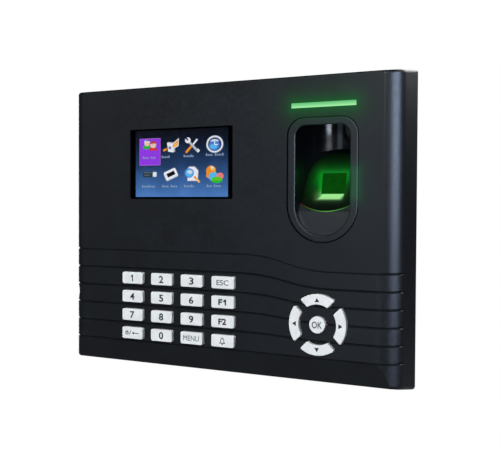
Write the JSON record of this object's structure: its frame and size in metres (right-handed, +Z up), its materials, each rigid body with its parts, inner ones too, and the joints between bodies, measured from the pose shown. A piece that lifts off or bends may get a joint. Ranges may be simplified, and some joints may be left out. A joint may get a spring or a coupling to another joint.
{
  "type": "fingerprint scanner terminal",
  "caption": "Wall-hung access and attendance terminal with a colour screen, number keys, a round direction pad and a recessed, lit fingerprint sensor.",
  "frame": {"origin": "centre of the wall plate's back face, on the wall", "axes": "+X to the right as seen by a person in front of the terminal, +Y into the wall, +Z up; the screen faces -Y"},
  "size_m": [0.1822, 0.0355, 0.1483],
  "materials": {
    "casing": "fine satin texture, charcoal",
    "steel": "black powder coat",
    "window": "clear gloss",
    "black": "matte black",
    "screen": "lit colour display",
    "tray": "stamped sheet",
    "ribbon": "amber film",
    "cable": "black jacket",
    "prism": "polished, lit green",
    "lamp": "light-emitting",
    "board": "green solder mask",
    "diffuser": "milky, lit green",
    "rubber": "moulded silicone",
    "connector": "black moulded",
    "chip": "epoxy",
    "cell": "bright steel",
    "plunger": "white moulded",
    "jack": "plated shell",
    "terminal": "green moulded",
    "screw": "zinc plated",
    "key": "white, soft gloss"
  },
  "bodies": {
    "terminal": {"front_cover": "casing", "rear_cover": "casing", "wall_plate": "steel", "display_window": "window", "display_mask": "black", "display_panel": "screen", "display_tray": "tray", "display_ribbon": "ribbon", "finger_guide": "casing", "sensor_bezel": "casing", "sensor_prism": "prism", "sensor_housing": "black", "sensor_lens": "prism", "sensor_lamps": "lamp", "sensor_board": "board", "sensor_cable": "cable", "light_bar": "diffuser", "light_lamps": "lamp", "light_board": "board", "keypad_mat": "rubber", "nav_mat": "rubber", "button_board": "board", "board_link": "connector", "main_board": "board", "board_chips": "chip", "relay": "connector", "cell_holder": "black", "backup_cell": "cell", "tamper_switch": "connector", "speaker": "black", "ethernet_socket": "jack", "usb_socket": "jack", "power_socket": "connector", "terminal_blocks": "terminal", "cover_screws": "screw", "board_screws": "screw", "lock_screw": "screw"},
    "tamper_plunger_body": {"tamper_plunger": "plunger"},
    "key_1_body": {"key_1": "key"},
    "key_2_body": {"key_2": "key"},
    "key_3_body": {"key_3": "key"},
    "key_escape_body": {"key_escape": "key"},
    "key_4_body": {"key_4": "key"},
    "key_5_body": {"key_5": "key"},
    "key_6_body": {"key_6": "key"},
    "key_f1_body": {"key_f1": "key"},
    "key_7_body": {"key_7": "key"},
    "key_8_body": {"key_8": "key"},
    "key_9_body": {"key_9": "key"},
    "key_f2_body": {"key_f2": "key"},
    "key_power_body": {"key_power": "key"},
    "key_0_body": {"key_0": "key"},
    "key_menu_body": {"key_menu": "key"},
    "key_bell_body": {"key_bell": "key"},
    "key_up_body": {"key_up": "key"},
    "key_left_body": {"key_left": "key"},
    "key_right_body": {"key_right": "key"},
    "key_down_body": {"key_down": "key"},
    "key_ok_body": {"key_ok": "key"}
  },
  "joints": [
    {"name": "tamper_press", "type": "slide", "parent": "terminal", "child": "tamper_plunger_body", "axis": [0, 1, 0], "range_m": [-0.001, 0], "stiffness_N_per_m": 120, "springref_m": 0.0015},
    {"name": "key_1_press", "type": "slide", "parent": "terminal", "child": "key_1_body", "axis": [0, 1, 0], "range_m": [0, 0.0008], "stiffness_N_per_m": 400, "springref_m": -0.0004, "deforming": ["keypad_mat"]},
    {"name": "key_2_press", "type": "slide", "parent": "terminal", "child": "key_2_body", "axis": [0, 1, 0], "range_m": [0, 0.0008], "stiffness_N_per_m": 400, "springref_m": -0.0004, "deforming": ["keypad_mat"]},
    {"name": "key_3_press", "type": "slide", "parent": "terminal", "child": "key_3_body", "axis": [0, 1, 0], "range_m": [0, 0.0008], "stiffness_N_per_m": 400, "springref_m": -0.0004, "deforming": ["keypad_mat"]},
    {"name": "key_escape_press", "type": "slide", "parent": "terminal", "child": "key_escape_body", "axis": [0, 1, 0], "range_m": [0, 0.0008], "stiffness_N_per_m": 400, "springref_m": -0.0004, "deforming": ["keypad_mat"]},
    {"name": "key_4_press", "type": "slide", "parent": "terminal", "child": "key_4_body", "axis": [0, 1, 0], "range_m": [0, 0.0008], "stiffness_N_per_m": 400, "springref_m": -0.0004, "deforming": ["keypad_mat"]},
    {"name": "key_5_press", "type": "slide", "parent": "terminal", "child": "key_5_body", "axis": [0, 1, 0], "range_m": [0, 0.0008], "stiffness_N_per_m": 400, "springref_m": -0.0004, "deforming": ["keypad_mat"]},
    {"name": "key_6_press", "type": "slide", "parent": "terminal", "child": "key_6_body", "axis": [0, 1, 0], "range_m": [0, 0.0008], "stiffness_N_per_m": 400, "springref_m": -0.0004, "deforming": ["keypad_mat"]},
    {"name": "key_f1_press", "type": "slide", "parent": "terminal", "child": "key_f1_body", "axis": [0, 1, 0], "range_m": [0, 0.0008], "stiffness_N_per_m": 400, "springref_m": -0.0004, "deforming": ["keypad_mat"]},
    {"name": "key_7_press", "type": "slide", "parent": "terminal", "child": "key_7_body", "axis": [0, 1, 0], "range_m": [0, 0.0008], "stiffness_N_per_m": 400, "springref_m": -0.0004, "deforming": ["keypad_mat"]},
    {"name": "key_8_press", "type": "slide", "parent": "terminal", "child": "key_8_body", "axis": [0, 1, 0], "range_m": [0, 0.0008], "stiffness_N_per_m": 400, "springref_m": -0.0004, "deforming": ["keypad_mat"]},
    {"name": "key_9_press", "type": "slide", "parent": "terminal", "child": "key_9_body", "axis": [0, 1, 0], "range_m": [0, 0.0008], "stiffness_N_per_m": 400, "springref_m": -0.0004, "deforming": ["keypad_mat"]},
    {"name": "key_f2_press", "type": "slide", "parent": "terminal", "child": "key_f2_body", "axis": [0, 1, 0], "range_m": [0, 0.0008], "stiffness_N_per_m": 400, "springref_m": -0.0004, "deforming": ["keypad_mat"]},
    {"name": "key_power_press", "type": "slide", "parent": "terminal", "child": "key_power_body", "axis": [0, 1, 0], "range_m": [0, 0.0008], "stiffness_N_per_m": 400, "springref_m": -0.0004, "deforming": ["keypad_mat"]},
    {"name": "key_0_press", "type": "slide", "parent": "terminal", "child": "key_0_body", "axis": [0, 1, 0], "range_m": [0, 0.0008], "stiffness_N_per_m": 400, "springref_m": -0.0004, "deforming": ["keypad_mat"]},
    {"name": "key_menu_press", "type": "slide", "parent": "terminal", "child": "key_menu_body", "axis": [0, 1, 0], "range_m": [0, 0.0008], "stiffness_N_per_m": 400, "springref_m": -0.0004, "deforming": ["keypad_mat"]},
    {"name": "key_bell_press", "type": "slide", "parent": "terminal", "child": "key_bell_body", "axis": [0, 1, 0], "range_m": [0, 0.0008], "stiffness_N_per_m": 400, "springref_m": -0.0004, "deforming": ["keypad_mat"]},
    {"name": "key_up_press", "type": "slide", "parent": "terminal", "child": "key_up_body", "axis": [0, 1, 0], "range_m": [0, 0.0008], "stiffness_N_per_m": 400, "springref_m": -0.0004, "deforming": ["nav_mat"]},
    {"name": "key_left_press", "type": "slide", "parent": "terminal", "child": "key_left_body", "axis": [0, 1, 0], "range_m": [0, 0.0008], "stiffness_N_per_m": 400, "springref_m": -0.0004, "deforming": ["nav_mat"]},
    {"name": "key_right_press", "type": "slide", "parent": "terminal", "child": "key_right_body", "axis": [0, 1, 0], "range_m": [0, 0.0008], "stiffness_N_per_m": 400, "springref_m": -0.0004, "deforming": ["nav_mat"]},
    {"name": "key_down_press", "type": "slide", "parent": "terminal", "child": "key_down_body", "axis": [0, 1, 0], "range_m": [0, 0.0008], "stiffness_N_per_m": 400, "springref_m": -0.0004, "deforming": ["nav_mat"]},
    {"name": "key_ok_press", "type": "slide", "parent": "terminal", "child": "key_ok_body", "axis": [0, 1, 0], "range_m": [0, 0.0008], "stiffness_N_per_m": 400, "springref_m": -0.0004, "deforming": ["nav_mat"]}
  ]
}
